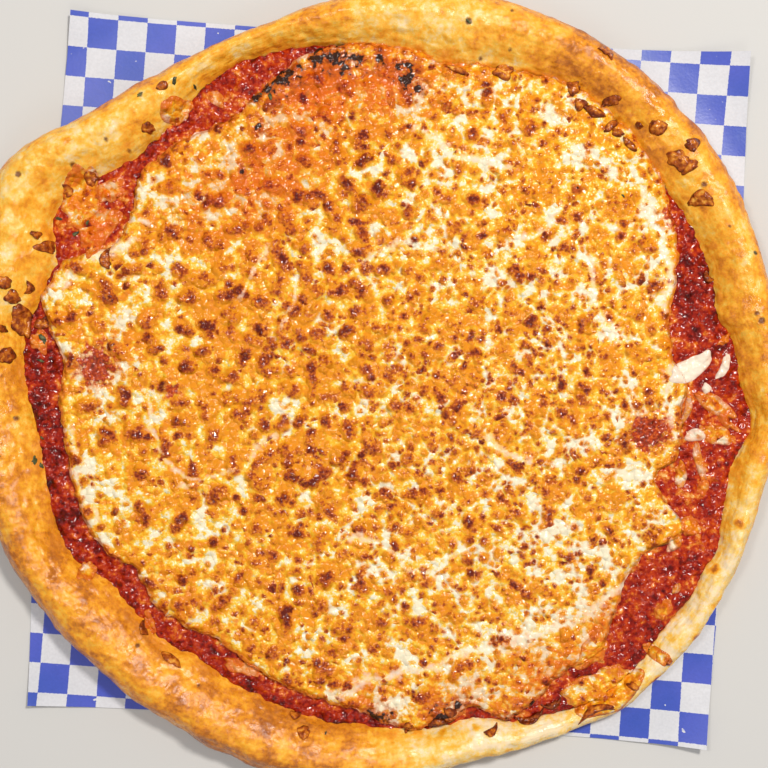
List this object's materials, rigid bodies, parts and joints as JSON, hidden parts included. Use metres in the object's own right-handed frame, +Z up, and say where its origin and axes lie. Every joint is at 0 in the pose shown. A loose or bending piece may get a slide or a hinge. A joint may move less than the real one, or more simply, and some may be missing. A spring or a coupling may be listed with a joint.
{
  "type": "cheese pizza on liner paper",
  "caption": "Whole round baked cheese pizza with a puffed crust, a ring of tomato sauce and browned melted cheese, lying on a square sheet of checked liner paper.",
  "frame": {"origin": "middle of the whole part's box seen from above, at the underside of the paper, on the surface that it rests on", "axes": "+Z up out of the topping; +Y towards the top of the pizza as seen from above, with the paper turned 3.6 degrees clockwise from the axes; +X to the right"},
  "size_m": [0.3584, 0.3488, 0.0238],
  "materials": {
    "liner_paper": null,
    "crust": null,
    "sauce": null,
    "cheese": null
  },
  "bodies": {
    "root": {"liner_paper": "liner_paper", "crust": "crust", "sauce": "sauce", "cheese": "cheese"}
  },
  "joints": []
}
